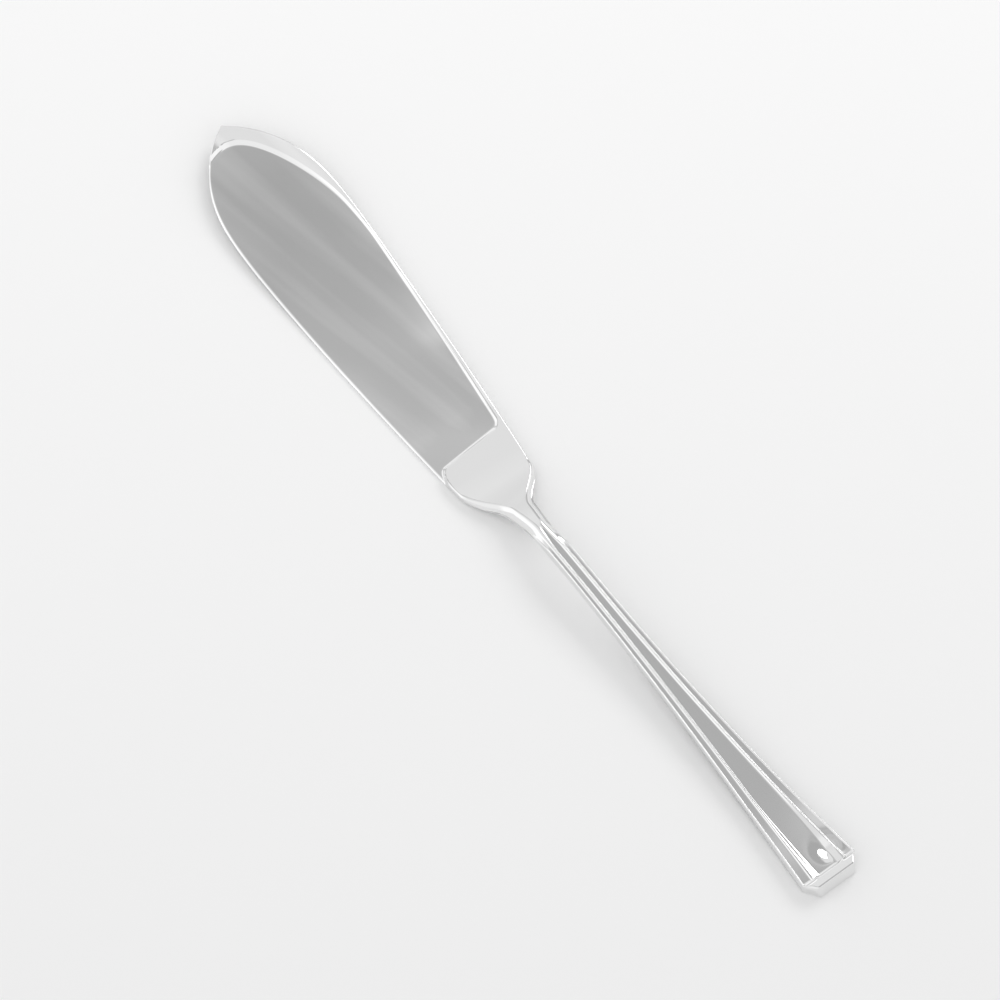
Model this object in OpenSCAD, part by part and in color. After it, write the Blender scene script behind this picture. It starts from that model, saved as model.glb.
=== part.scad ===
/* [Whole knife] */
// Length from the end of the handle to the tip of the blade
overall_len = 205; // [195:1:215]

/* [Blade] */
// Length from the root line to the tip, along the blade
blade_len = 90; // [84:0.5:95]
// Width at the widest place
blade_w = 25.4; // [22:0.2:28]
// Distance from the root line to the widest place
widest_at = 60.5; // [56:0.5:65]
// Width at the root line
root_w = 17.5; // [15:0.5:20]
// Angle that the blade leans to its spine side, in degrees
blade_lean = 2.4; // [0:0.1:5]
// Distance from the handle's middle line to the blade's, at the root line
blade_offset = 1.35; // [0:0.05:2.5]
// Thickness of the shoulder and of the margins near it
plate_t = 1.9; // [1.5:0.05:2.4]
// Thickness of the margin at the tip
tip_t = 1.6; // [1.2:0.05:2]
// Thickness of the panel at the cutting edge
edge_t = 0.65; // [0.5:0.05:0.9]
// Height that the tip stands off the table
tip_lift = 3.2; // [0.5:0.1:6]
// Distance from the root line to the place where the lift begins
lift_from = 26; // [15:1:40]

/* [Pressed panel] */
// Depth of the panel below the margin along the spine, at the root
panel_depth = 0.35; // [0.2:0.05:0.6]
// Depth of the panel below the margin at the tip
tip_depth = 0.6; // [0.3:0.05:0.8]
// Distance from the root line to where the panel is widest
panel_widest_at = 52.5; // [46:0.5:55]
// Width of the margin along the middle of the spine
spine_margin = 0.45; // [0.35:0.05:1]
// Width of the margin along the spine at the root
root_margin = 1.2; // [0.6:0.1:2]
// Distance from the tip to the end of the panel
tip_margin = 3.85; // [2.5:0.05:6]
// Distance from the blade's middle line to the end of the panel, towards the edge
tip_shift = 1.8; // [0:0.1:3]
// Width of the wall along the spine
spine_wall = 0.5; // [0.3:0.05:1]
// Width of the wall round the tip
tip_wall = 0.95; // [0.7:0.05:1.6]
// Width of the wall at the root
root_wall = 0.75; // [0.4:0.05:1.5]
// Angle of the root wall away from square, in degrees
root_skew = 7.5; // [0:1:15]
// Length of the curve that runs the root wall out at the cutting edge
root_runout = 3.4; // [1:0.1:4]
// Width of the band at the cutting edge in which that curve lies
runout_w = 2.2; // [1.5:0.1:3]
// Angle that the margin at the tip falls outwards, in degrees
tip_slope = 3.5; // [0:0.5:5]
// Width of the bevel at the cutting edge
edge_bevel = 0.4; // [0.2:0.05:0.6]

/* [Neck] */
// Width of the neck and of the narrow part of the handle
neck_w = 4.5; // [3.8:0.1:6]
// Distance from the root line to the start of the shoulder's curve
shoulder_from = 7.5; // [6.5:0.5:12]
// Length of the shoulder's curve
shoulder_len = 10; // [8:0.5:12]
// Distance that the spine side's curve begins nearer to the handle
spine_lead = 0.8; // [0:0.1:1.5]
// Width of the round flank on each side of the neck
flank_w = 1.7; // [1:0.1:2]
// Height of the round flank
flank_h = 2.2; // [1:0.1:2.6]
// Length of the crank in which the top comes down to the blade
crank_len = 15; // [12:0.5:15.5]

/* [Handle] */
// Width of the handle at its end, before the corners are clipped
end_w = 13; // [10:0.2:16]
// Length over which the handle flares
flare_len = 80; // [60:1:84]
// Thickness of the narrow part of the handle
handle_t = 2.15; // [1.8:0.05:2.6]
// Thickness of the handle at its end
end_t = 3.3; // [2.6:0.05:3.6]
// Length over which the handle thickens to its end
thicken_len = 25; // [15:1:35]
// Distance from the handle's end to the top of its arch
arch_at = 80; // [70:1:84]
// Height of the underside at the top of the arch
arch_h = 4.3; // [2:0.1:6]
// Length over which the underside comes down from the arch to the blade
under_len = 18; // [17:0.5:20]
// Length of the clip across each corner
clip_len = 2; // [1:0.05:3]
// Width of the clip across each corner
clip_w = 1.7; // [1:0.05:3]

/* [Mouldings] */
// Distance from the outer edge to the top of the rim
rim_in = 0.22; // [0.1:0.02:0.3]
// Depth of the groove inside the rim
groove_depth = 0.42; // [0.2:0.02:0.6]
// Width of the groove's outer wall
groove_wall = 0.2; // [0.1:0.02:0.3]
// Distance from the groove's line to the top of the bead
bead_w = 0.65; // [0.5:0.05:0.9]
// Width of the bead's outer slope
bead_rise_w = 0.3; // [0.15:0.05:0.35]
// Depth of the bead's ridge below the rim
ridge_depth = 0.22; // [0.1:0.02:0.4]
// Width of the cove beside the panel in the narrow part
cove_w = 0.35; // [0.2:0.05:0.5]
// Width of the cove beside the panel at the end
end_cove_w = 1.4; // [0.6:0.05:1.6]
// Depth of the panel in the narrow part of the handle
inner_depth = 0.5; // [0.3:0.05:0.8]
// Depth of the panel at the end of the handle
dish_depth = 1.25; // [0.6:0.05:1.6]
// Length of the pointed wedge in which the panel begins at the neck
wedge_len = 9.5; // [6:0.5:12]
// Width of the roll across the end
end_ridge = 1.45; // [1:0.05:2.5]
// Height that the roll falls from its front to the panel
roll_fall = 0.33; // [0:0.03:0.5]
// Rounding of the roll's two ends
roll_end_r = 0.7; // [0.3:0.05:1]
// Depth of the notch between the roll and the long mouldings
notch_h = 0.3; // [0:0.05:0.5]
// Width of the wall between the roll and the panel
end_wall = 0.9; // [0.3:0.05:1.2]
// Length of the steep face at the end
end_face = 0.85; // [0.4:0.05:1.5]
// Height of the steep face's foot
end_foot = 0.5; // [0.4:0.05:0.8]

/* [Hidden] */

// Rounding of the outer edges on top and underneath
edge_r = 0.3;
under_r = 0.4;
// Half the width of the blunt tip
tip_blunt = 0.3;
// Radius of the panel's end on the side of the cutting edge
tip_round = 9;
// Radius of the panel's corner between the spine and the root wall
corner_r = 1.9;
// Length over which the slope of the tip's margin sets in
slope_len = 20;
// Half the width of the flat on a ridge
flat_in = 0.05;
// Taper of the end face in plan
end_draft = 0.7;
// Rounding of the crease between the end face and the roll
crease_r = 0.12;
// Distance from the neck to the point of the panel's wedge
wedge_lead = 0.5;
// Distances from the neck to the start of the crank and of the underside's fall
crank_lead = 3.6;
under_lead = 13;
// Distance before the neck, and before the arch's place, at which the arch levels out
level_lead = 4;
// Depth of the belly that the resting face is cut from, and reach of the cut
belly = 0.03;
cut_reach = overall_len;

// Powers of the curves: leaf, corner, taper, panel, runout, wall, flare, dish, arch and flank
leaf_power = 2.93;
corner_power = 0.85;
taper_power = 1.4;
panel_power = 2.35;
runout_power = 2.5;
wall_power = 0.65;
flare_power = 1.9;
dish_power = 1.8;
arch_power = 1.5;
flank_power = 1.6;

// Place of the groove, as a share of the handle's half width
groove_share = 0.27;
// Places where the blade, neck and handle meet, as shares of the shoulder's curve
neck_end_share = 0.75;
blade_end_share = 0.7;
// Start and length of the mouldings' run-in, as shares of the shoulder's curve
run_in_shares = [0.05, 0.8];
// Length of the curve on the spine side, as a share of the shoulder's
spine_curve_share = 0.92;
// Place of the notch between the roll and the mouldings, as a share of the end wall
notch_share = 1 / 3;
// Step from the blade's first section to the next, as a share of its length before the root line
first_row_share = 0.15;

function clamp(u) = min(1, max(0, u));
function soft(u) = let (c = clamp(u)) c * c * (3 - 2 * c);
function mix(a, b, u) = a + (b - a) * u;
function steps(a, b, n) = [for (i = [0:n - 1]) mix(a, b, i / n)];

// Places along the handle's middle line, measured from the handle's end
root_x = overall_len - blade_len * cos(blade_lean);
shoulder_x = root_x - shoulder_from;
neck_x = shoulder_x - shoulder_len;
handle_cut = neck_x - shoulder_len * neck_end_share;
blade_cut = -shoulder_from * blade_end_share;
blade_cut_x = root_x + blade_cut * cos(blade_lean);
ridge_x = end_face + end_ridge;
wall_x = ridge_x + end_wall;
notch_x = ridge_x + end_wall * notch_share;

// How far the shoulder has opened from the neck to the blade, from 0 to 1, on each side
function opened(x) = soft((x - neck_x) / shoulder_len);
function spine_opened(x) = soft((x - neck_x + spine_lead) / (shoulder_len * spine_curve_share));

// Plan of the blade, where a is the distance from the root line along the blade
function to_tip(a) = clamp((a - widest_at) / (blade_len - widest_at));
function leaf_half(a) = a < widest_at
    ? blade_w / 2 - (blade_w - root_w) / 2 * pow(1 - a / widest_at, taper_power)
    : blade_w / 2 * pow(1 - pow(to_tip(a), leaf_power), corner_power);

// Plan of the handle and neck
function clip_at(x) = x < end_face
    ? clip_w + end_draft * (1 - x / end_face)
    : clip_w * clamp(1 - (x - end_face) / clip_len);
function flare(x) = (end_w - neck_w) / 2 * pow(clamp(1 - x / flare_len), flare_power);
function flare_half(x) = neck_w / 2 + flare(x) - clip_at(x);
function along_blade(x) = (x - root_x) / cos(blade_lean);
function aside(x) = blade_offset + (x - root_x) * tan(blade_lean);
function edge_side(x) = mix(flare_half(x), leaf_half(along_blade(x)) - aside(x), opened(x));
function spine_side(x) = mix(flare_half(x), leaf_half(along_blade(x)) + aside(x), spine_opened(x));
function half_at(x) = (edge_side(x) + spine_side(x)) / 2;
function middle_y(x) = (edge_side(x) - spine_side(x)) / 2;

// Side view: underside and thickness of the neck and handle
level_from = arch_at - level_lead;
level_at = neck_x - level_lead;
level_slope = arch_power * pow(level_at / arch_at, arch_power - 1) / arch_at;
function levelled(x) = level_slope * pow(max(0, x - level_from), 2) / (level_at - level_from) / 2;
function arch(x) = arch_h * (pow(x / arch_at, arch_power) - levelled(x));
function under_at(x) = arch(x) * (1 - soft((x - neck_x + under_lead) / under_len));
function end_t_at(x) = x < end_face
    ? mix(end_foot, end_t, x / end_face)
    : end_t - roll_fall * clamp((x - end_face) / (wall_x - end_face));
function crease(x) = under_rise(abs(x - end_face), crease_r) / 2;
function handle_t_at(x) = mix(end_t_at(x) - crease(x), handle_t, soft(x / thicken_len));
function cranked(x) = soft((x - neck_x + crank_lead) / crank_len);
function thick_at(x) = mix(arch(x) + handle_t_at(x), plate_t, cranked(x)) - under_at(x);

// Side view of the blade
function lift_at(a) = tip_lift * pow(max(0, (a - lift_from) / (blade_len - lift_from)), 2);
function plate_at(a) = mix(plate_t, tip_t, clamp(a / blade_len));
function belly_at(a) = belly * soft(1 - a / blade_cut) * soft((lift_from - a) / shoulder_from);

// Distances from the outer edge to the moulding lines
function spread(x) = pow(clamp(1 - x / thicken_len), dish_power);
function cove_at(x) = mix(cove_w, end_cove_w, spread(x));
function lines_in(x) =
    let (
        h = half_at(x),
        groove = groove_share * h,
        ridge = groove + min(bead_w, groove),
        cove = min(cove_at(x), (h - ridge) / 2),
        wedge = clamp((neck_x - wedge_lead - x) / wedge_len),
        panel = mix(h - flat_in, ridge + 2 * flat_in + cove, wedge)
    )
    [
        0, edge_r / 3, rim_in, rim_in + groove_wall, ridge - flat_in - bead_rise_w, ridge - flat_in,
        ridge + flat_in, panel - cove, panel - cove / 2, panel, (panel + h) / 2, h
    ];

// Depths of the same lines below the rim, which end at the wall beside the roll
function notch(x) = notch_h * pow(clamp(1 - abs(x - notch_x) / end_wall), 2);
function roll_r(x) = mix(roll_end_r, rim_in, soft((x - ridge_x) / end_wall));
function moulded_drop(x, e) =
    let (
        k = soft((x - ridge_x) / end_wall),
        panel = mix(inner_depth, dish_depth, spread(x)),
        middle_depth = (ridge_depth + panel) / 2,
        depths = [
            0, 0, 0, groove_depth, groove_depth, ridge_depth,
            ridge_depth, ridge_depth, middle_depth, panel, panel, panel
        ],
        notches = [1, 1, 1, 1, 1, 1, 1, 1, 1 / 2, 0, 0, 0] * notch(x)
    )
    [for (i = [0:len(e) - 1])
        max(depths[i] * k, notches[i]) + mix(roll_end_r, edge_r, k) * pow(clamp(1 - e[i] / roll_r(x)), 2)
    ];

// The neck's round flanks, which shrink to the shoulder's small edges
function flank_drop(x, e) =
    let (
        k = soft((shoulder_x + flank_w - x) / shoulder_len),
        w = mix(edge_r, flank_w, k),
        h = mix(edge_r, flank_h, k)
    )
    h * pow(clamp(1 - e / w), flank_power);
function run_in(x) = soft(((neck_x - x) / shoulder_len - run_in_shares[0]) / run_in_shares[1]);
function under_rise(e, r) = r * pow(clamp(1 - e / r), 2);

// Cross section of the neck and handle: a row of points on top and one underneath
function bar_row(x) =
    let (
        lines = lines_in(x),
        drops = moulded_drop(x, lines),
        h = half_at(x),
        n = len(lines) - 1,
        turn = blade_lean * opened(x),
        thin = clamp(thick_at(x) / handle_t)
    )
    [for (top = [true, false]) [for (j = [0:2 * n])
        let (
            i = min(j, 2 * n - j),
            y = (j < n ? -1 : 1) * (h - lines[i]),
            drop = mix(flank_drop(x, lines[i]), drops[i], run_in(x)) * thin,
            rise = under_rise(lines[i], under_r) * thin,
            z = under_at(x) + (top ? thick_at(x) - drop : rise)
        )
        [x + y * sin(turn), middle_y(x) + y * cos(turn), z]
    ]];

// Outline of the pressed panel in the blade's own plan, with y towards the cutting edge
panel_end = blade_len - tip_margin;
panel_half = leaf_half(panel_widest_at) - spine_margin;
function panel_mid(a) = tip_shift * soft((a - widest_at) / (panel_end - widest_at));
function to_end(a) = clamp((a - panel_widest_at) / (panel_end - panel_widest_at));
function spine_line(a) = a < panel_widest_at
    ? mix(root_margin, spine_margin, clamp(a / panel_widest_at)) - leaf_half(a)
    : panel_mid(a) - panel_half * sqrt(1 - pow(to_end(a), panel_power));
function past_end(a) = max(0, (a - panel_end) / (panel_end - panel_widest_at));
function end_rate(u) = panel_power * pow(u, panel_power - 1) / (panel_end - panel_widest_at);
function runout(a, y) = root_runout * pow(clamp(1 - (leaf_half(a) - y) / runout_w), runout_power);
function root_line(a, y) = -y * tan(root_skew) - runout(a, y);

// Distance from the panel's outline inwards, along the spine and round the tip
function in_oval(a, v) =
    let (u = to_end(a) + past_end(a))
    (1 - pow(u, panel_power) - v * v) / norm([end_rate(u), 2 * v / panel_half]);
function in_open_end(a, bow) = (panel_end - bow * bow / tip_round / 2 - a) / norm([1, bow / tip_round]);
function in_panel(a, y) =
    a < panel_widest_at ? y - spine_line(a)
    : y < panel_mid(a) ? in_oval(a, (y - panel_mid(a)) / panel_half)
    : in_open_end(a, y - panel_mid(a));

// How far the panel is pressed in at a place, from 0 on the margins to 1
function side_wall(a) = mix(root_wall, spine_wall, soft(a / corner_r / 2));
function wall_w(a) = mix(side_wall(a), tip_wall, soft((a - panel_widest_at) / (panel_end - widest_at)));
function pressed(a, y) =
    let (
        side = max(0, corner_r - in_panel(a, y)),
        root = max(0, corner_r - a + root_line(a, y))
    )
    soft(pow(clamp((corner_r - norm([side, root])) / wall_w(a)), wall_power));

// Heights of the blade's faces
function outside(a, y) = max(0, -in_panel(a, y)) * soft((a - panel_widest_at) / slope_len);
function margin_z(a, y) = lift_at(a) + plate_at(a) - outside(a, y) * tan(tip_slope);
function panel_z(a, y) =
    let (
        half = a < widest_at ? leaf_half(a) : blade_w / 2,
        depth = mix(panel_depth, tip_depth, clamp(a / blade_len))
    )
    lift_at(a) + mix(plate_at(a) - depth, edge_t, (y + half) / half / 2);

// Places across the blade, from the spine to the cutting edge
function blade_half(a) = max(leaf_half(a), tip_blunt);
function blade_lines(a) =
    let (
        h = blade_half(a),
        r = min(edge_r, h / 4),
        wall = min(max(spine_line(a), 2 * r - h), h / 4),
        foot = wall + min(wall_w(a), h / 4),
        near_edge = h - min(runout_w, h / 3),
        bevel = min(edge_bevel, h / 4)
    )
    concat(
        [-h, r / 3 - h, r - h, (r - h + wall) / 2],
        [for (i = [0:4]) mix(wall, foot, i / 4)],
        [for (i = [1:5]) mix(foot, near_edge, i / 5)],
        [for (i = [1:4]) mix(near_edge, h - bevel, i / 4)],
        [for (i = [1:5]) h - bevel * (1 - i / 5)]
    );

// Heights near the two long edges, where the faces are rounded and bevelled
function top_z(a, y, h) =
    let (
        spine_r = min(edge_r, h / 4),
        bevel = min(edge_bevel, h / 4),
        drop = under_rise(y + h, spine_r) + edge_r * pow(clamp(1 - (h - y) / bevel), flank_power)
    )
    mix(margin_z(a, y), panel_z(a, y), pressed(a, y)) - drop;
function under_z(a, y, h) =
    let (
        spine_r = min(edge_r, h / 4),
        edge_round = min(edge_bevel, h / 4) / 4
    )
    lift_at(a) - belly_at(a) + under_rise(y + h, spine_r) + under_rise(h - y, edge_round);

// Cross section of the blade, skewed near the root so that it runs along the root wall
function row_skew(a) = tan(root_skew) * soft(1 - a / blade_cut) * soft(1 - a / lift_from);
function blade_row(a0) =
    [for (top = [true, false]) [for (l = blade_lines(a0))
        let (
            a = a0 - l * row_skew(a0),
            h = blade_half(a),
            y = l * h / blade_half(a0)
        )
        [
            root_x + a * cos(blade_lean) + y * sin(blade_lean),
            y * cos(blade_lean) - blade_offset - a * sin(blade_lean),
            top ? top_z(a, y, h) : under_z(a, y, h)
        ]
    ]];

// Rows of sections along each zone
handle_rows = concat(
    [0],
    steps(end_face, wall_x, 16),
    steps(wall_x, thicken_len, 14),
    steps(thicken_len, handle_cut, 20),
    [handle_cut]
);
neck_rows = concat(steps(handle_cut, blade_cut_x, 28), [blade_cut_x]);
blade_rows = concat(
    steps(blade_cut * (1 - first_row_share), 0, 9),
    steps(0, root_wall, 4),
    steps(root_wall, lift_from, 9),
    steps(lift_from, widest_at, 8),
    steps(widest_at, panel_end - shoulder_len, 6),
    steps(panel_end - shoulder_len, blade_len, 26),
    [blade_len]
);
blade_sections = concat([bar_row(blade_cut_x)], [for (a = blade_rows) blade_row(a)]);

// Middle of the whole knife's width
side_ys = [for (row = blade_sections) for (p = row[0]) p[1]];
middle = (min(side_ys) + max(side_ys)) / 2;

// Solid between two grids of points, rows[i][0] on top and rows[i][1] underneath
module plated(rows) {
    n = len(rows);
    m = len(rows[0][0]);
    function at(p) = (p[0] * n + p[1]) * m + p[2];
    function quad(p, q, r, s) = [[at(p), at(q), at(r)], [at(p), at(r), at(s)]];
    points = [for (side = [0, 1]) for (row = rows) for (p = row[side]) p];
    faces = [
        for (i = [0:n - 2]) for (j = [0:m - 2]) each concat(
            quad([0, i, j], [0, i, j + 1], [0, i + 1, j + 1], [0, i + 1, j]),
            quad([1, i, j], [1, i + 1, j], [1, i + 1, j + 1], [1, i, j + 1])
        ),
        for (i = [0:n - 2]) each concat(
            quad([0, i, 0], [0, i + 1, 0], [1, i + 1, 0], [1, i, 0]),
            quad([0, i, m - 1], [1, i, m - 1], [1, i + 1, m - 1], [0, i + 1, m - 1])
        ),
        for (j = [0:m - 2]) each concat(
            quad([0, 0, j + 1], [0, 0, j], [1, 0, j], [1, 0, j + 1]),
            quad([0, n - 1, j], [0, n - 1, j + 1], [1, n - 1, j + 1], [1, n - 1, j])
        )
    ];
    polyhedron(points, faces, convexity = 4);
}

module on_table() translate([-overall_len / 2, -middle, 0]) children();

// Flat leaf with a panel pressed into it, thinning to the cutting edge
module blade() {
    color("gainsboro")
    on_table()
    difference() {
        plated(blade_sections);
        translate([0, -cut_reach / 2, -cut_reach]) cube(cut_reach);
    }
}

// Shoulder plate that narrows and rises into a round-flanked neck
module neck() {
    color("silver")
    on_table()
    plated([for (x = neck_rows) bar_row(x)]);
}

// Flared bar with stepped mouldings round a sunken panel and clipped corners
module handle() {
    color("lightgray")
    on_table()
    plated([for (x = handle_rows) bar_row(x)]);
}

blade();
neck();
handle();
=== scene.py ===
# %% [markdown]
# # A fish knife, forged in one piece and mirror polished
# A table fish knife is one bar of steel. It is cut out as a flat blank, pressed between two dies
# that raise its mouldings and sink its panels, bent at the neck, trimmed and polished like a mirror.
# This lesson goes the same way: a flat grid is the blank, an extrusion gives it its thickness, and
# a few short formulas are the dies. A mirror only looks as good as the room around it, so the last
# cells build a soft studio whose light and grey parts the steel can show.

import math

import bpy
import numpy as np
from mathutils import Matrix, Vector


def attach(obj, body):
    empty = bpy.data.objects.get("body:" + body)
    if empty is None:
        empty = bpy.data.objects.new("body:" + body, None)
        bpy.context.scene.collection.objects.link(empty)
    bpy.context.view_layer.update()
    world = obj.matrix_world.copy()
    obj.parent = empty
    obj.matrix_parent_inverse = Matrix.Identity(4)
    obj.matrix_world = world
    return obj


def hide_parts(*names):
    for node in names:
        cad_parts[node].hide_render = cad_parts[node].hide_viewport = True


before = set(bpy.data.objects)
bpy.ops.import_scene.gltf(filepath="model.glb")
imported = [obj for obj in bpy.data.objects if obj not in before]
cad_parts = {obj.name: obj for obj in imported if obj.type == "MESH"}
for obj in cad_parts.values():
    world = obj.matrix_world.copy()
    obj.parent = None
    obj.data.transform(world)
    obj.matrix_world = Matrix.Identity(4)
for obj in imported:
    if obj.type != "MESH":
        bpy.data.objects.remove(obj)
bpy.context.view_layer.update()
MM = 0.001
print("nodes:", sorted(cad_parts))

# %% [markdown]
# ## Sizes of the knife
# The knife is described along two middle lines. The handle's runs from its end, at zero, towards
# the blade. The blade's starts at the root line, where the pressed panel begins, and leans a little
# to the side of the spine. All sizes are real ones in millimetres, as a toolmaker would note them.

# %% Sizes of the blade
overall_len = 205
blade_len = 90
blade_w = 25.4
widest_at = 60.5
root_w = 17.5
blade_lean = math.radians(2.4)
blade_offset = 1.35
plate_t, tip_t, edge_t = 1.9, 1.6, 0.65
tip_lift, lift_from = 3.2, 26
root_x = overall_len - blade_len * math.cos(blade_lean)
print("root line at", round(root_x, 2), "mm from the handle's end")

# %% [markdown]
# The neck is the thinnest place. Its crank is bent in a length of its own, it swells a little before
# the shoulder, and its flanks are round. The shoulder opens over a shorter length on the spine side.

# %% Sizes of the neck
neck_w = 4.5
shoulder_from, shoulder_len = 7.5, 10
spine_lead, spine_shoulder_len = 0.8, 9.2
flank_w, flank_h = 1.7, 2.2
crank_lead, crank_len = 8, 20
spread_from, spread_len, spread_to, spread_out = 90, 10, 101, 6
edge_spread, spine_spread = 0.75, 1.1
cut_share = 0.7

shoulder_x = root_x - shoulder_from
neck_x = shoulder_x - shoulder_len
blade_cut = -cut_share * shoulder_from
blade_cut_x = root_x + blade_cut * math.cos(blade_lean)
print("neck at", round(neck_x, 2), "mm, its crank is", crank_len, "mm long")

# %% [markdown]
# The handle flares and thickens towards its end. There a roll lies across it, with a notch before
# it, a slanting end face and two clipped corners, and a small thumb dish is pressed into the panel.

# %% Sizes of the handle
end_w, flare_len = 13, 80
handle_t, end_t, thicken_len = 2.15, 3.3, 25
arch_at, arch_h, level_lead = 80, 4.3, 4
inner_depth, end_depth = 0.5, 0.78
cove_w, end_cove_w = 0.35, 2.3
wedge_len, wedge_lead = 6.5, 5.6
clip_len, clip_w = 2.0, 1.7
dish_x, dish_y, dish_r, dish_depth = 6.5, -2.5, 1.25, 0.5
edge_r, under_r = 0.3, 0.4
end_face, end_foot, end_ridge, end_wall, end_draft = 0.85, 0.5, 1.55, 0.8, 0.7
roll_fall, crease_r, roll_end_r, roll_lead, notch_h = 0.33, 0.12, 0.7, 0.3, 0.3

ridge_x = end_face + end_ridge
wall_x = ridge_x + end_wall
roll_x = ridge_x - roll_lead
print("roll from", round(roll_x, 2), "to", round(wall_x, 2), "mm")

# %% [markdown]
# ## The outline
# The blank's outline is a handful of curves. The handle flares with a power curve, the shoulder
# opens with a soft step, and the leaf widens slowly and then closes to its pointed tip. Working with
# curves instead of points keeps a polished edge free of bumps, which a mirror would show at once.

# %% Soft steps
def clamp(u):
    return np.clip(u, 0.0, 1.0)


def soft(u):
    c = clamp(u)
    return c * c * (3 - 2 * c)


def mix(a, b, u):
    return a + (b - a) * u


def rounded(e, r, power=2):
    """How deep a rounded edge is at a distance e from it, as a share of its height."""
    return np.power(clamp(1 - e / r), power)


print("a soft step passes", float(soft(0.25)), float(soft(0.5)), float(soft(0.75)))

# %% Curves of the outline
FLARE_POWER, TAPER_POWER = 1.9, 1.4
POINT_POWER, POINT_ROUND = 2.93, 0.85
least_half = 0.3


def opened(x):
    return soft((x - neck_x) / shoulder_len)


def spine_opened(x):
    return soft((x - neck_x + spine_lead) / spine_shoulder_len)


def leaf_half(a):
    back = clamp(1 - a / widest_at) + np.maximum(0, -a / widest_at)
    taper = blade_w / 2 - (blade_w - root_w) / 2 * np.power(back, TAPER_POWER)
    ahead = clamp((a - widest_at) / (blade_len - widest_at))
    point = blade_w / 2 * np.power(1 - np.power(ahead, POINT_POWER), POINT_ROUND)
    return np.where(a < widest_at, taper, point)


def clip_at(x):
    foot = clip_w + end_draft * (1 - x / end_face)
    return np.where(x < end_face, foot, clip_w * clamp(1 - (x - end_face) / clip_len))


# %% [markdown]
# The blade's two sides lie apart from the handle's middle line, because it leans and stands a little
# aside. So the cutting edge and the spine are each followed by themselves.

# %% Sides of the whole knife
def side_edges(x):
    """How far the cutting edge and the spine lie from the handle's middle line."""
    flared = (end_w - neck_w) / 2 * np.power(clamp(1 - x / flare_len), FLARE_POWER)
    flare = neck_w / 2 + flared - clip_at(x)
    leaf = leaf_half((x - root_x) / math.cos(blade_lean))
    aside = blade_offset + (x - root_x) * math.tan(blade_lean)
    wide = soft((x - spread_from) / spread_len) * (1 - soft((x - spread_to) / spread_out))
    cutting = mix(flare, leaf - aside, opened(x)) + edge_spread * wide
    return cutting, mix(flare, leaf + aside, spine_opened(x)) + spine_spread * wide


def half_at(x):
    cutting, spine = side_edges(x)
    return (cutting + spine) / 2


def middle_y(x):
    cutting, spine = side_edges(x)
    return (cutting - spine) / 2


waist_x = 85.0
print("half width before the roll:", round(float(half_at(wall_x)), 2), "mm")
print("half width at the waist:", round(float(half_at(waist_x)), 2), "mm")
print("half width of the leaf:", round(float(leaf_half(np.float64(widest_at))), 2), "mm")

# %% [markdown]
# ## The side view
# The handle rises in a long arch, comes down through the crank of the neck and lies flat under the
# first third of the blade. The rest of the blade lifts gently to its tip. The underside follows the
# top at a thickness that grows only towards the handle's end, so the flat it rests on stays true.

# %% Curves of the side view
ARCH_POWER = 1.5


def arch(x):
    level_from, level_at = arch_at - level_lead, neck_x - level_lead
    slope = ARCH_POWER * np.power(level_at / arch_at, ARCH_POWER - 1) / arch_at
    levelled = slope * np.power(np.maximum(0, x - level_from), 2) / (level_at - level_from) / 2
    return arch_h * (np.power(x / arch_at, ARCH_POWER) - levelled)


def cranked(x):
    return soft((x - neck_x + crank_lead) / crank_len)


def under_at(x):
    return arch(x) * (1 - cranked(x))


def top_line(x):
    roll = end_t - roll_fall * clamp((x - end_face) / (wall_x - end_face))
    end = np.where(x < end_face, mix(end_foot, end_t, x / end_face), roll)
    end = end - crease_r * rounded(np.abs(x - end_face), crease_r) / 2
    bar = mix(end, handle_t, soft(x / thicken_len))
    return mix(arch(x) + bar, plate_t, cranked(x))


def thick_at(x):
    return top_line(x) - under_at(x)


def lift_at(a):
    return tip_lift * np.power(np.maximum(0, (a - lift_from) / (blade_len - lift_from)), 2)


def plate_at(a):
    return mix(plate_t, tip_t, clamp(a / blade_len))


print("top of the arch:", round(float(top_line(float(arch_at))), 2), "mm above the table")

# %% [markdown]
# ## The die for the handle
# Seen across, the handle steps down from a narrow rim into a groove, up over a bead and down a cove
# into a sunken panel. The die is written as a depth below the rim, for any distance from the outer
# edge. Soft steps between the lines make the small round forms that a polishing wheel leaves.

# %% Lines of the mouldings
rim_in, groove_wall, bead_w, bead_rise_w, bead_flat = 0.22, 0.2, 0.65, 0.3, 0.1
groove_share = 0.27
groove_depth, bead_rise = 0.42, 0.2
least_panel = 0.02
SPREAD_POWER = 1.8


def spread(x):
    """How far the panel has opened and sunk towards the handle's end, from 0 to 1."""
    return np.power(clamp(1 - x / thicken_len), SPREAD_POWER)


def moulding_lines(x):
    """The outer edge, then the places where bead, ridge, cove and panel begin, going inwards."""
    h = np.maximum(half_at(x), least_half)
    groove = groove_share * h
    ridge = groove + np.minimum(bead_w, groove)
    cove = np.minimum(mix(cove_w, end_cove_w, spread(x)), (h - ridge) / 2)
    wedge = clamp((neck_x - wedge_lead - x) / wedge_len)
    panel = mix(h - least_panel, ridge + bead_flat + cove, wedge)
    return h, ridge - bead_rise_w, ridge, panel - cove, panel


print("half width, bead, ridge, brink and panel at the waist:")
print([round(float(v), 2) for v in moulding_lines(waist_x)])

# %% [markdown]
# At the roll the mouldings stop in a wall, and in the neck they run out into two round flanks. The
# thumb dish is one soft hollow, deepest at its middle.

# %% Depths of the mouldings
dish_clear = 1.5
moulding_lead, moulding_fade = 5, 8
EDGE_POWER = 1.6


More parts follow.
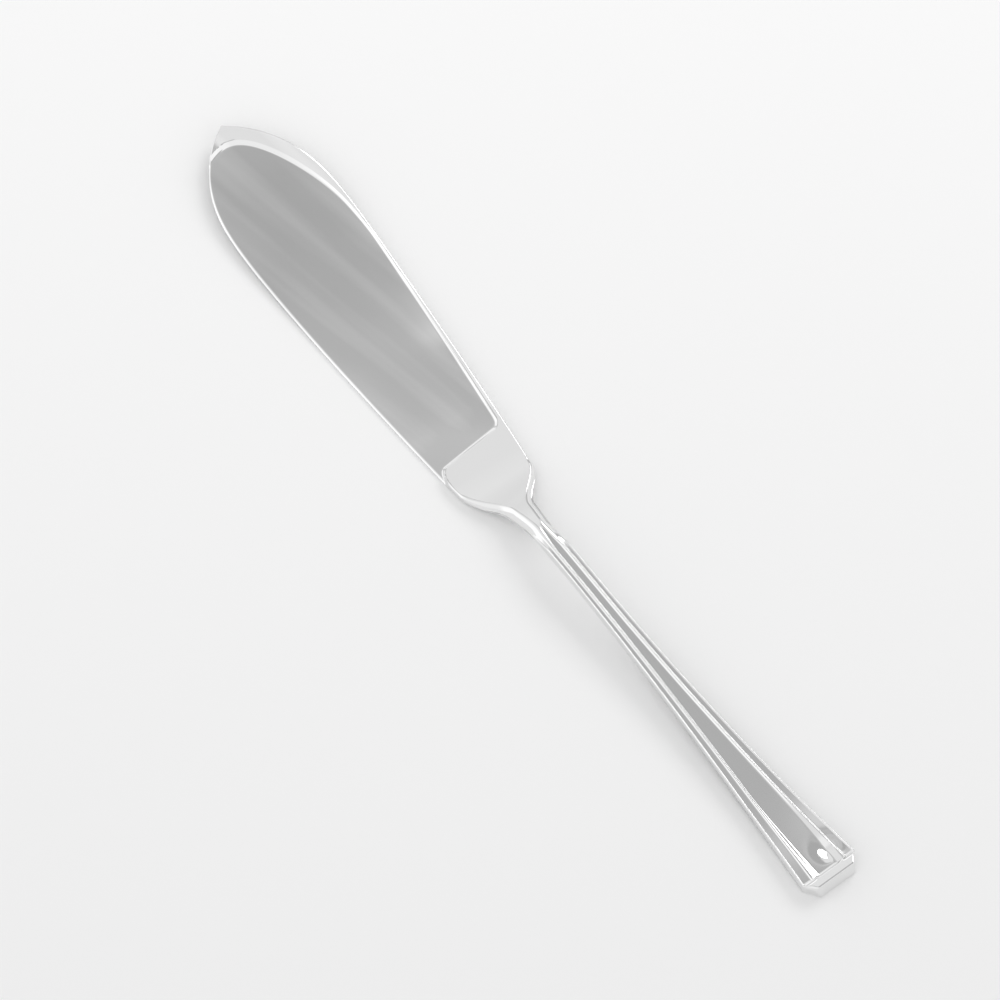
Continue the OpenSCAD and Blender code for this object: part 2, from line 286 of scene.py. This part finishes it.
def moulded_drop(x, e):
    h, bead, ridge, brink, panel = moulding_lines(x)
    k = soft((x - ridge_x) / end_wall)
    depth = mix(inner_depth, end_depth, spread(x))
    drop = groove_depth * soft((e - rim_in) / groove_wall)
    drop = drop - bead_rise * soft((e - bead) / bead_rise_w)
    drop = drop + (depth - groove_depth + bead_rise) * soft((e - brink) / (panel - brink))
    r = mix(roll_end_r, rim_in, soft((x - roll_x) / end_wall))
    before_roll = rounded(np.abs(x - ridge_x - end_wall / 3), end_wall)
    notch = notch_h * before_roll * (1 - soft((e - ridge) / (panel - ridge)))
    return np.maximum(drop * k, notch) + mix(roll_end_r, edge_r, k) * rounded(e, r)


def dish_drop(x, y):
    off = np.power(x - dish_x, 2) + np.power(y - dish_y, 2)
    return dish_depth * np.exp(-off / dish_r / dish_r / 2) * soft((x - wall_x) / dish_clear)


def flank_drop(x, e):
    k = soft((shoulder_x + flank_w - x) / shoulder_len)
    return mix(edge_r, flank_h, k) * rounded(e, mix(edge_r, flank_w, k), EDGE_POWER)


def bar_top(x, e):
    thin = clamp(thick_at(x) / handle_t)
    moulded = soft((neck_x - moulding_lead - x) / moulding_fade)
    drop = mix(flank_drop(x, e), moulded_drop(x, e), moulded)
    return under_at(x) + thick_at(x) - drop * thin


def bar_under(x, e):
    thin = clamp(thick_at(x) / handle_t)
    return under_at(x) + under_r * rounded(e, under_r) * thin


print("the dish leaves", round(end_t - end_depth - dish_depth, 2), "mm of steel under it")

# %% [markdown]
# ## The die for the blade
# A shallow panel is pressed into the leaf. Its wall follows the spine, turns round the tip and
# closes at the root with a straight step, and it is open at the cutting edge, where the panel thins
# out. The wall is a soft step of the distance to the panel's outline.

# %% Sizes of the pressed panel
panel_widest_at = 52.5
spine_margin, root_margin, tip_margin = 0.45, 1.2, 3.85
tip_shift, tip_round = 1.8, 9
spine_wall, tip_wall, root_wall = 0.5, 0.9, 0.95
root_depth, tip_depth = 0.35, 0.6
root_skew = math.radians(7.5)
root_runout, runout_w = 3.4, 2.2
edge_bevel, edge_rounding = 0.4, 0.1
corner_r = 1.9
tip_slope, tip_ease = math.radians(3.5), 20
panel_end = blade_len - tip_margin
panel_half = float(leaf_half(np.float64(panel_widest_at))) - spine_margin
panel_round = panel_end - panel_widest_at
PANEL_POWER, WALL_POWER, RUNOUT_POWER = 2.35, 0.65, 2.5
print("panel ends", round(blade_len - panel_end, 2), "mm before the tip")

# %% Outline of the pressed panel
def panel_mid(a):
    return tip_shift * soft((a - widest_at) / (panel_end - widest_at))


def spine_line(a):
    along = mix(root_margin, spine_margin, clamp(a / panel_widest_at)) - leaf_half(a)
    u = clamp((a - panel_widest_at) / panel_round)
    around = panel_mid(a) - panel_half * np.sqrt(1 - np.power(u, PANEL_POWER))
    return np.where(a < panel_widest_at, along, around)


def to_oval(a, y):
    """Distance to the oval that ends the panel at the tip, seen from inside."""
    u = clamp((a - panel_widest_at) / panel_round) + np.maximum(0, (a - panel_end) / panel_round)
    v = (y - panel_mid(a)) / panel_half
    steep = PANEL_POWER * np.power(np.maximum(u, 1e-3), PANEL_POWER - 1) / panel_round
    slope = np.sqrt(steep * steep + np.power(2 * v / panel_half, 2))
    return (1 - np.power(u, PANEL_POWER) - v * v) / slope


def to_panel_edge(a, y):
    """Distance to the panel's outline, seen from inside, for the spine side and round the tip."""
    mid = panel_mid(a)
    bow = np.maximum(0, y - mid)
    bowed = np.sqrt(1 + np.power(bow / tip_round, 2))
    open_end = (panel_end - bow * bow / tip_round / 2 - a) / bowed
    around = np.where(y < mid, to_oval(a, y), open_end)
    return np.where(a < panel_widest_at, y - spine_line(a), around)


def root_line(a, y):
    runout = root_runout * rounded(leaf_half(a) - y, runout_w, RUNOUT_POWER)
    return -y * math.tan(root_skew) - runout


# %% [markdown]
# Outside the panel the margin stays level along the spine and falls away a little round the tip.
# The spine is rounded, and the cutting edge has a small bevel above.

# %% Heights of the blade
def wall_w(a):
    near = mix(root_wall, spine_wall, soft(a / corner_r / 2))
    return mix(near, tip_wall, soft((a - panel_widest_at) / (panel_end - widest_at)))


def pressed(a, y):
    side = np.maximum(0, corner_r - to_panel_edge(a, y))
    root = np.maximum(0, corner_r - (a - root_line(a, y)))
    inside = clamp((corner_r - np.sqrt(side * side + root * root)) / wall_w(a))
    return soft(np.power(inside, WALL_POWER))


def blade_top(a, y, h):
    half = np.where(a < widest_at, leaf_half(a), blade_w / 2)
    outside = np.maximum(0, -to_oval(a, y)) * soft((a - panel_widest_at) / tip_ease)
    margin = lift_at(a) + plate_at(a) - outside * math.tan(tip_slope)
    depth = mix(root_depth, tip_depth, clamp(a / blade_len))
    panel = lift_at(a) + mix(plate_at(a) - depth, edge_t, (y + half) / half / 2)
    spine_r = np.minimum(edge_r, h / 4)
    bevel = np.minimum(edge_bevel, h / 4)
    drop = spine_r * rounded(y + h, spine_r) + edge_r * rounded(h - y, bevel, EDGE_POWER)
    return mix(margin, panel, pressed(a, y)) - drop


def blade_under(a, y, h):
    spine_r = np.minimum(edge_r, h / 4)
    edge_round = np.minimum(edge_rounding, h / 16)
    rise = spine_r * rounded(y + h, spine_r) + edge_round * rounded(h - y, edge_round)
    return lift_at(a) + rise


print("the panel's wall is", spine_wall, "mm wide at the spine and", tip_wall, "mm at the tip")

# %% [markdown]
# ## Where the grid's lines go
# The blank is a grid of rows across the knife and lines along it. Rows stand close where the form
# changes fast, at the handle's end, the neck, the root step and the tip, and wide where it is plain.
# The lines gather on the rims and walls in the same way.

# %% Rows of the grid
dish_to = 9.0
root_near, root_past = -2.2, 1.6
point_from = 78.0


def steps(a, b, n):
    return a + (b - a) * np.arange(n) / n


bar_rows = np.concatenate([
    steps(0, end_face, 6), steps(end_face, ridge_x, 10), steps(ridge_x, wall_x, 10),
    steps(wall_x, dish_to, 30), steps(dish_to, thicken_len, 30),
    steps(thicken_len, flare_len, 60), steps(flare_len, blade_cut_x, 80),
])
leaf_rows = np.concatenate([
    steps(blade_cut, root_near, 9), steps(root_near, root_past, 24), steps(root_past, lift_from, 40),
    steps(lift_from, widest_at, 40), steps(widest_at, point_from, 40),
    steps(point_from, blade_len, 80), [blade_len],
])
row_count = len(bar_rows) + len(leaf_rows)
print(len(bar_rows), "rows in the bar,", len(leaf_rows), "rows in the leaf")

# %% [markdown]
# Every row has the same number of points, so the lines run unbroken from the handle's end to the
# tip. Between two marks, such as the edge of the rim and the foot of its wall, a row has a fixed
# number of steps.

# %% Lines of the grid
side_steps = (4, 6, 8, 6, 3, 9, 8)
leaf_steps = (5, 6, 13, 44, 14, 6)
leaf_powers = (1, 1, 1, 1.4, 1, 1)
line_count = 2 * sum(side_steps) + 1


def between(marks, counts, powers=(1,) * len(side_steps)):
    spans = zip(marks, marks[1:], counts, powers)
    parts = [a + (b - a) * np.power(np.arange(n) / n, p) for a, b, n, p in spans]
    return np.concatenate(parts + [[marks[-1]]])


def bar_lines(x):
    h, bead, ridge, brink, panel = (float(v) for v in moulding_lines(x))
    e = between([0, rim_in, rim_in + groove_wall, bead, ridge, brink, panel, h], side_steps)
    return np.concatenate([e - h, (h - e[:-1])[::-1]]), h


def leaf_lines(a):
    h = max(float(leaf_half(np.float64(a))), least_half)
    r = min(edge_r, h / 4)
    wall = min(max(float(spine_line(np.float64(a))), 2 * r - h), h / 4)
    foot = wall + min(float(wall_w(np.float64(a))), h / 4)
    bevel = min(edge_bevel, h / 4)
    near_edge = h - min(runout_w, h / 3)
    marks = [-h, r - h, wall, foot, near_edge, h - bevel, h]
    return between(marks, leaf_steps, leaf_powers), h


print(row_count, "rows of", line_count, "points")

# %% [markdown]
# ## Press the blank
# Each row is laid out in the plan and given its two heights. At the shoulder the bar's lines slide
# over to the leaf's, and near the root the rows are skewed, so that they run along the root step.

# %% One row of points
join_len = 2.5


def bar_row(x):
    y, h = bar_lines(x)
    turn = blade_lean * opened(x)
    e = h - np.abs(y)
    plan = (x + y * np.sin(turn), middle_y(x) + y * np.cos(turn))
    return plan, bar_top(x, e) - dish_drop(x, plan[1]), bar_under(x, e)


def leaf_row(a0):
    y0, h0 = leaf_lines(a0)
    x0 = root_x + a0 * math.cos(blade_lean)
    near = soft((a0 - blade_cut) / join_len)
    y0 = mix(bar_lines(x0)[0] if a0 < 0 else y0, y0, near)
    skew = math.tan(root_skew) * soft(1 - a0 / blade_cut) * soft(1 - a0 / lift_from)
    a = a0 - y0 * skew
    h = np.maximum(leaf_half(a), least_half)
    y = y0 * h / h0
    cos, sin = math.cos(blade_lean), math.sin(blade_lean)
    plan = (root_x + a * cos + y * sin, y * cos - blade_offset - a * sin)
    x = root_x + a * cos
    e = h - np.abs(y)
    top = mix(bar_top(x, e), blade_top(a, y, h), near)
    under = mix(bar_under(x, e), blade_under(a, y, h), near)
    return plan, top, under


# %% All rows, placed about the origin
rows = [bar_row(x) for x in bar_rows] + [leaf_row(a) for a in leaf_rows]
plan_x = np.array([plan[0] + 0 * top for plan, top, under in rows])
plan_y = np.array([plan[1] + 0 * top for plan, top, under in rows])
top_z = np.array([top for plan, top, under in rows])
under_z = np.maximum(np.array([under for plan, top, under in rows]), 0)
plan_x = plan_x - overall_len / 2
plan_y = plan_y - (plan_y.min() + plan_y.max()) / 2
size_x, size_y = plan_x.max() - plan_x.min(), plan_y.max() - plan_y.min()
print("knife is", round(size_x, 2), "by", round(size_y, 2), "mm")

# %% [markdown]
# The blank is a flat grid, one unit square, and an extrusion makes it a closed slab. After that
# every point of the slab knows its row and its line from where it lies, and the dies move it.

# %% Make the blank
def only(obj):
    bpy.ops.object.select_all(action="DESELECT")
    bpy.context.view_layer.objects.active = obj
    obj.select_set(True)


bpy.ops.object.select_all(action="DESELECT")
bpy.ops.mesh.primitive_grid_add(x_subdivisions=row_count - 1, y_subdivisions=line_count - 1, size=1)
knife = bpy.context.object
knife.name = "knife"
only(knife)
bpy.ops.object.mode_set(mode="EDIT")
bpy.ops.mesh.select_all(action="SELECT")
bpy.ops.mesh.extrude_region_move(TRANSFORM_OT_translate={"value": (0, 0, 0.5)})
bpy.ops.object.mode_set(mode="OBJECT")
blank = knife.data
print(len(blank.vertices), "points,", len(blank.polygons), "faces")

# %% Press it
co = np.zeros(len(blank.vertices) * 3, np.float32)
blank.vertices.foreach_get("co", co)
co = co.reshape(-1, 3)
row = np.rint((co[:, 0] + 0.5) * (row_count - 1)).astype(int)
line = np.rint((co[:, 1] + 0.5) * (line_count - 1)).astype(int)
raised = co[:, 2] > 0.25
co[:, 0] = plan_x[row, line] * MM
co[:, 1] = plan_y[row, line] * MM
co[:, 2] = np.where(raised, top_z[row, line], under_z[row, line]) * MM
blank.vertices.foreach_set("co", co.ravel())
blank.update()
print("pressed to", round(float(co[:, 2].max()) / MM, 2), "mm high")

# %% Turn the faces outwards and shade them
CREASE = math.radians(38)
bpy.ops.object.mode_set(mode="EDIT")
bpy.ops.mesh.select_all(action="SELECT")
bpy.ops.mesh.normals_make_consistent(inside=False)
bpy.ops.object.mode_set(mode="OBJECT")
only(knife)
bpy.ops.object.shade_smooth_by_angle(angle=CREASE)
for name in ("blade", "neck", "handle"):
    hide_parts(name)
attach(knife, "root")

# %% [markdown]
# ## Mirror-polished steel
# Cutlery steel with chromium and nickel is ground, then buffed on cotton wheels until it is a
# mirror. What is left for the eye is a very slight waviness from pressing and buffing, hairline
# marks along the strokes and a faint haze. The waves and hairlines are bump and the haze is
# roughness. The soft light streaks across the blade's panel are a painted reflection of the
# room's folds, laid into the steel's colour.

# %% Small helpers for materials
def linear(code):
    parts = [int(code[i:i + 2], 16) / 255 for i in (0, 2, 4)]
    return tuple(c / 12.92 if c <= 0.04045 else ((c + 0.055) / 1.055) ** 2.4 for c in parts) + (1.0,)


def add(tree, kind, settings=None, links=None):
    node = tree.nodes.new(kind)
    for key, value in (settings or {}).items():
        if hasattr(node, key) and key not in node.inputs:
            setattr(node, key, value)
        else:
            node.inputs[key].default_value = value
    for key, source in (links or {}).items():
        tree.links.new(source, node.inputs[key])
    return node


def ramp(tree, source, stops):
    """Colours for the values of a source, from pairs of a value and a colour."""
    made = add(tree, "ShaderNodeValToRGB", None, {"Fac": source})
    while len(made.color_ramp.elements) < len(stops):
        made.color_ramp.elements.new(0.5)
    for stop, (value, code) in zip(made.color_ramp.elements, stops):
        stop.position = value
        stop.color = linear(code)
    return made.outputs["Color"]


def noise(tree, vector, scale, detail, **settings):
    """Blender's noise, its patches one unit wide at a scale of 1."""
    settings = {"Scale": scale, "Detail": detail, **settings}
    return add(tree, "ShaderNodeTexNoise", settings, {"Vector": vector}).outputs["Fac"]


def new_material(name):
    made = bpy.data.materials.new(name)
    made.use_nodes = True
    made.node_tree.nodes.clear()
    return made, made.node_tree


print("linear value of a mid grey:", round(linear("808080")[0], 3))

# %% Waves, hairlines and haze of the steel
wave_size, hair_size, haze_size = 22 * MM, 0.5 * MM, 9 * MM
wave_depth, hair_depth = 0.2 * MM, 0.01 * MM
stroke_stretch = 0.12

steel, tree = new_material("mirror_polished_stainless_steel")
place = add(tree, "ShaderNodeTexCoord").outputs["Object"]
stroke = add(tree, "ShaderNodeMapping", {"Scale": (stroke_stretch, 1, 1)}, {"Vector": place})
wave = noise(tree, place, 1 / wave_size, 1.0)
hair = noise(tree, stroke.outputs["Vector"], 1 / hair_size, 3.0)
haze = noise(tree, stroke.outputs["Vector"], 1 / haze_size, 4.0)
rough = add(tree, "ShaderNodeMapRange", {"To Min": 0.05, "To Max": 0.08}, {"Value": haze})
waves = add(tree, "ShaderNodeBump", {"Strength": 0.3, "Distance": wave_depth}, {"Height": wave})
hairs = add(tree, "ShaderNodeBump", {"Strength": 0.01, "Distance": hair_depth},
            {"Height": hair, "Normal": waves.outputs["Normal"]})
print("bump of", wave_depth / MM, "and", hair_depth / MM, "mm")

# %% Painted reflection streaks, on the blade's panel
reflection_streak_len, reflection_streak_w, reflection_streak_deep = 75 * MM, 5 * MM, 40 * MM
reflection_streak_turn = math.radians(9.5)
panel_starts, panel_full = 8 * MM, 20 * MM

# painted reflection: stretched noise stands in for the folds of the room that the mirror shows
painted_streak_map = add(tree, "ShaderNodeMapping",
             {"vector_type": "TEXTURE", "Rotation": (0, 0, reflection_streak_turn),
              "Scale": (reflection_streak_len, reflection_streak_w, reflection_streak_deep)}, {"Vector": place})
painted_streak = noise(tree, painted_streak_map.outputs["Vector"], 1.0, 2.0, Roughness=0.4)
parts = add(tree, "ShaderNodeSeparateXYZ", None, {"Vector": place})
on_panel = add(tree, "ShaderNodeMapRange", {"From Min": panel_starts, "From Max": panel_full},
               {"Value": parts.outputs["X"]})
kept = add(tree, "ShaderNodeMath", {"operation": "MULTIPLY"},
           {0: painted_streak, 1: on_panel.outputs["Result"]})
# painted reflection: the streaks lighten the steel's colour on the panel
painted_reflection = ramp(tree, kept.outputs["Value"], ((0.45, "EDEDED"), (0.68, "FAFAFA")))
skin = add(tree, "ShaderNodeBsdfPrincipled", {"Metallic": 1.0},
           {"Base Color": painted_reflection, "Roughness": rough.outputs["Result"],
            "Normal": hairs.outputs["Normal"]})
add(tree, "ShaderNodeOutputMaterial", None, {"Surface": skin.outputs["BSDF"]})
knife.data.materials.clear()
knife.data.materials.append(steel)
print("material:", steel.name)

# %% [markdown]
# ## Camera
# The photograph looks down at about sixty degrees through a long lens, from the side of the cutting
# edge. The camera's place was worked out from the knife's outline, and it is kept as a height angle,
# a distance and the direction of the knife in the picture.

# %% Camera at the photograph's angle
height_angle = math.radians(61.5)
distance = 822 * MM
aim = Vector((0.75, 4.53, 0)) * MM
away = Vector((0.7961, -0.6052, 0))
right = Vector((-0.6052, -0.7961, 0))
film, focal, sees_to = 36, 151.2, 20

look = away * math.cos(height_angle) - Vector((0, 0, math.sin(height_angle)))
up = away * math.sin(height_angle) + Vector((0, 0, math.cos(height_angle)))
turn = Matrix((right, up, -look)).transposed().to_4x4()
lens = bpy.data.cameras.new("camera")
lens.sensor_fit = "HORIZONTAL"
lens.sensor_width = film
lens.lens = focal
lens.clip_end = sees_to
camera = bpy.data.objects.new("camera", lens)
bpy.context.scene.collection.objects.link(camera)
camera.matrix_world = Matrix.Translation(aim - look * distance) @ turn
bpy.context.scene.camera = camera
print("camera at", [round(v, 3) for v in camera.matrix_world.translation])

# %% [markdown]
# ## The cloth
# The knife lies on a smooth white cloth. It is a wide plane, so that the steel finds it at every
# low angle. Very soft folds are left in it by bump alone. Its white darkens a little towards
# the photographer, as in the picture. This is a painted falloff of the light, not a change in the
# cloth.

# %% White cloth
cloth_w, fold_size, fold_depth = 3.0, 70 * MM, 4 * MM
painted_falloff_reach = 140 * MM

bpy.ops.object.select_all(action="DESELECT")
bpy.ops.mesh.primitive_plane_add(size=cloth_w)
cloth = bpy.context.object
cloth.name = "cloth"
linen, tree = new_material("smooth_white_cotton")
place = add(tree, "ShaderNodeTexCoord").outputs["Object"]
bend = add(tree, "ShaderNodeBump", {"Strength": 0.25, "Distance": fold_depth},
           {"Height": noise(tree, place, 1 / fold_size, 1.0)})
down = add(tree, "ShaderNodeVectorMath", {"operation": "DOT_PRODUCT"}, {0: place})
down.inputs[1].default_value = right * 0.35 - away * 0.94
low = add(tree, "ShaderNodeMapRange", {"From Min": -painted_falloff_reach, "From Max": painted_falloff_reach},
          {"Value": down.outputs["Value"]})
# painted light falloff: the cloth's colour darkens towards the photographer
painted_falloff = ramp(tree, low.outputs["Result"], ((0.0, "FBFBFB"), (1.0, "F2F2F2")))
skin = add(tree, "ShaderNodeBsdfPrincipled", {"Roughness": 0.9, "Specular IOR Level": 0.1},
           {"Normal": bend.outputs["Normal"], "Base Color": painted_falloff})
add(tree, "ShaderNodeOutputMaterial", None, {"Surface": skin.outputs["BSDF"]})
cloth.data.materials.append(linen)
print("cloth:", cloth_w, "m wide")

# %% [markdown]
# ## The room
# The steel shows the room, so the room is drawn with care, as colours by direction. X points to the
# blade's tip, Y to the cutting edge and Z up. Three small helpers are enough: a soft border in a
# direction's measure, two borders joined, and one colour laid over another.

# %% Helpers for the room
world = bpy.data.worlds.new("studio")
world.use_nodes = True
bpy.context.scene.world = world
tree = world.node_tree
tree.nodes.clear()
place = add(tree, "ShaderNodeTexCoord").outputs["Generated"]
axes = add(tree, "ShaderNodeSeparateXYZ", None, {"Vector": place})
to_tip, to_edge, height = (axes.outputs[axis] for axis in "XYZ")


def border(source, start, end):
    """A soft step of a direction's measure, from 0 at the start to 1 at the end."""
    settings = {"interpolation_type": "SMOOTHSTEP", "From Min": min(start, end),
                "From Max": max(start, end)}
    if end < start:
        settings.update({"To Min": 1.0, "To Max": 0.0})
    return add(tree, "ShaderNodeMapRange", settings, {"Value": source}).outputs["Result"]


def both(first, second):
    links = {0: first, 1: second}
    return add(tree, "ShaderNodeMath", {"operation": "MULTIPLY"}, links).outputs["Value"]


def blend(amount, under, over, kind="MIX"):
    """One colour laid over another. Each of the three is a socket or a plain value."""
    made = add(tree, "ShaderNodeMix", {"data_type": "RGBA", "blend_type": kind})
    for slot, value in ((0, amount), (6, under), (7, over)):
        if isinstance(value, bpy.types.NodeSocket):
            tree.links.new(value, made.inputs[slot])
        else:
            made.inputs[slot].default_value = value
    return made.outputs[2]


print("room:", world.name)

# %% [markdown]
# Light walls stand all around. The far wall is white low down, where the root step finds it, and a
# soft grey above. The walls beside the spine are darker, and the near wall is the lightest, because
# the round flanks on the cutting edge's side show it. A grey screen stands beside the knife.

# %% Walls
far_wall = ramp(tree, height, ((0.0, "FCFCFC"), (0.3, "F4F4F4"), (0.42, "D8D8D8"),
                               (0.6, "E0E0E0"), (1.0, "DCDCDC")))
side_wall = ramp(tree, height, ((0.0, "B8B8B8"), (0.2, "A4A4A4"), (0.42, "C0C0C0"),
                                (0.55, "ACACAC"), (0.78, "ACACAC"), (0.9, "DCDCDC")))
near_wall = ramp(tree, height, ((0.0, "FFFFFF"), (0.45, "FCFCFC"), (0.65, "DCDCDC"),
                                (1.0, "D8D8D8")))
back_wall, screen = linear("EAEAEA"), linear("A6A6A6")

walls = blend(border(to_edge, -0.42, -0.62), far_wall, side_wall)
walls = blend(border(to_edge, 0.15, 0.6), walls, near_wall)
walls = blend(border(to_tip, 0.28, -0.05), walls, back_wall)
beside = both(border(to_edge, -0.3, -0.34), border(to_tip, 0.37, 0.33))
walls = blend(both(beside, border(height, 0.5, 0.58)), walls, screen)
print("walls drawn")

# %% [markdown]
# Over the knife hangs a grey sheet, which all the flat panels show. Its tone changes a little along
# the knife, and it has faint folds. Its slanting edge falls just between the sunken panels and the
# shoulder, so that the shoulder shows the light wall.

# %% Grey sheet overhead
folds = add(tree, "ShaderNodeMapping", {"Scale": (6, 170, 6)}, {"Vector": place})
fold = noise(tree, folds.outputs["Vector"], 1.0, 1.0)
shade = ramp(tree, fold, ((0.4, "E8E8E8"), (0.5, "F2F2F2"), (0.6, "FFFFFF")))
sheet = ramp(tree, to_tip, ((0.2, "B6B6B6"), (0.26, "BABABA"), (0.3, "B9B9B9"),
                            (0.34, "AAAAAA"), (0.37, "ADADAD"), (0.4, "B1B1B1")))
sheet = blend(border(to_edge, -0.24, -0.19), sheet, linear("C7C7C7"))
sheet = blend(1.0, sheet, shade, "MULTIPLY")

slant = add(tree, "ShaderNodeVectorMath", {"operation": "DOT_PRODUCT"}, {0: place})
slant.inputs[1].default_value = (-0.45, 1, 0)
inside = both(border(to_edge, 0.25, -0.03), border(to_tip, -0.3, -0.1))
inside = both(inside, border(slant.outputs["Value"], -0.447, -0.431))
room = blend(inside, walls, sheet)
glow = add(tree, "ShaderNodeBackground", {"Strength": 1.2}, {"Color": room})
add(tree, "ShaderNodeOutputWorld", None, {"Surface": glow.outputs["Background"]})
print(len(tree.nodes), "nodes in the room")

# %% [markdown]
# One soft lamp stands beyond the knife and to the right. It gives the soft shadows on the cloth and
# the bright spot in the thumb dish.

# %% Key lamp
key = bpy.data.lights.new("key", "AREA")
key.shape = "RECTANGLE"
key.size, key.size_y = 0.8, 0.6
key.energy = 4.5
lamp = bpy.data.objects.new("key", key)
bpy.context.scene.collection.objects.link(lamp)
lamp_at = right * 0.6 + away * 0.88 + Vector((0, 0, 0.86))
aimed = (-lamp_at).to_track_quat("-Z", "Y").to_matrix().to_4x4()
lamp.matrix_world = Matrix.Translation(lamp_at) @ aimed
print("lamp at", [round(v, 2) for v in lamp_at])

# %% Finish
scene = bpy.context.scene
scene.view_settings.view_transform = "Standard"
